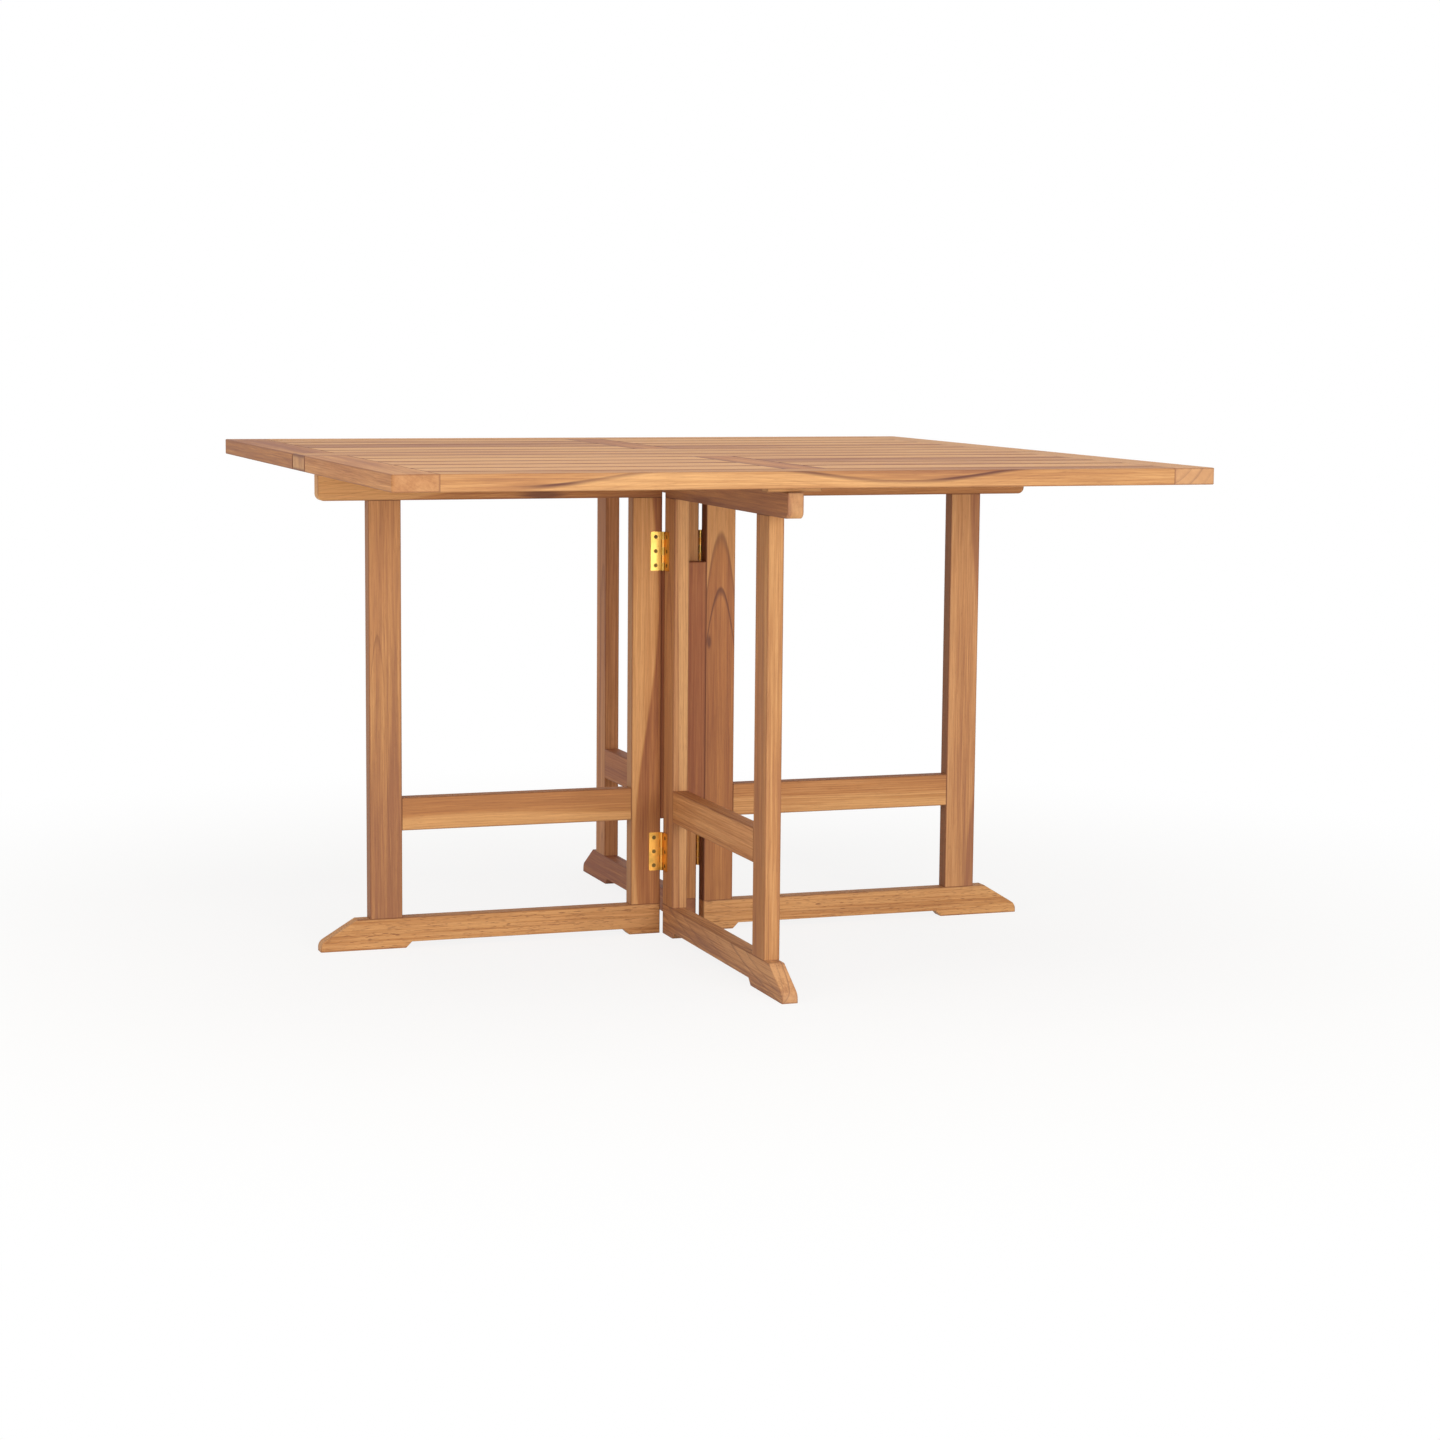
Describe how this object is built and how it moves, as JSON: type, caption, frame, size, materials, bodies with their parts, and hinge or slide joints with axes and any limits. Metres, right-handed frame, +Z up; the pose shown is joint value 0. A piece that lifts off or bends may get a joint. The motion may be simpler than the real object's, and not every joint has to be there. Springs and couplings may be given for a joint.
{
  "type": "folding garden table",
  "caption": "Square slatted folding garden table: leaves hinged to a narrow centre strip, on a fixed frame and gate legs that swing out on butt hinges.",
  "frame": {"origin": "on the floor under the middle of the open table", "axes": "+X along the centre strip to the right, +Y from the front leaf to the back leaf, +Z up"},
  "size_m": [1.2, 1.2, 0.75],
  "materials": {
    "teak": "oiled teak, satin, open grain",
    "brass": "bright yellow brass, lightly brushed"
  },
  "bodies": {
    "base": {"back_gate_hinge_frame_plates": "brass", "back_gate_hinge_pins": "brass", "back_leaf_hinge_pins": "brass", "back_leaf_hinge_strip_plates": "brass", "base_hinge_screws": "brass", "centre_strip": "teak", "front_gate_hinge_frame_plates": "brass", "front_gate_hinge_pins": "brass", "front_leaf_hinge_pins": "brass", "front_leaf_hinge_strip_plates": "brass", "left_frame_bottom_rail": "teak", "left_frame_inner_stile": "teak", "left_frame_mid_rail": "teak", "left_frame_outer_leg": "teak", "left_frame_top_rail": "teak", "right_frame_bottom_rail": "teak", "right_frame_inner_stile": "teak", "right_frame_mid_rail": "teak", "right_frame_outer_leg": "teak", "right_frame_top_rail": "teak", "spacer_block": "teak", "spacer_dowels": "teak", "strip_screws": "brass"},
    "front_gate": {"front_gate_bottom_rail": "teak", "front_gate_hinge_gate_plates": "brass", "front_gate_hinge_screws": "brass", "front_gate_inner_stile": "teak", "front_gate_mid_rail": "teak", "front_gate_outer_leg": "teak", "front_gate_top_rail": "teak"},
    "back_gate": {"back_gate_bottom_rail": "teak", "back_gate_hinge_gate_plates": "brass", "back_gate_hinge_screws": "brass", "back_gate_inner_stile": "teak", "back_gate_mid_rail": "teak", "back_gate_outer_leg": "teak", "back_gate_top_rail": "teak"},
    "front_leaf": {"front_leaf_cross_rail": "teak", "front_leaf_gate_cleat": "teak", "front_leaf_hinge_leaf_plates": "brass", "front_leaf_inner_rail": "teak", "front_leaf_left_end_rail": "teak", "front_leaf_outer_rail": "teak", "front_leaf_right_end_rail": "teak", "front_leaf_screws": "brass", "front_leaf_slats_left": "teak", "front_leaf_slats_right": "teak"},
    "back_leaf": {"back_leaf_cross_rail": "teak", "back_leaf_gate_cleat": "teak", "back_leaf_hinge_leaf_plates": "brass", "back_leaf_inner_rail": "teak", "back_leaf_left_end_rail": "teak", "back_leaf_outer_rail": "teak", "back_leaf_right_end_rail": "teak", "back_leaf_screws": "brass", "back_leaf_slats_left": "teak", "back_leaf_slats_right": "teak"}
  },
  "joints": [
    {"name": "front_gate_swing", "type": "hinge", "parent": "base", "child": "front_gate", "pos_m": [-0.035, -0.015, 0.3645], "axis": [0, 0, -1], "range_deg": [0, 90]},
    {"name": "back_gate_swing", "type": "hinge", "parent": "base", "child": "back_gate", "pos_m": [0.035, 0.015, 0.3645], "axis": [0, 0, -1], "range_deg": [0, 90]},
    {"name": "front_leaf_lift", "type": "hinge", "parent": "base", "child": "front_leaf", "pos_m": [0, -0.0445, 0.723], "axis": [-1, 0, 0], "range_deg": [0, 5]},
    {"name": "back_leaf_lift", "type": "hinge", "parent": "base", "child": "back_leaf", "pos_m": [0, 0.0445, 0.723], "axis": [1, 0, 0], "range_deg": [0, 5]}
  ]
}
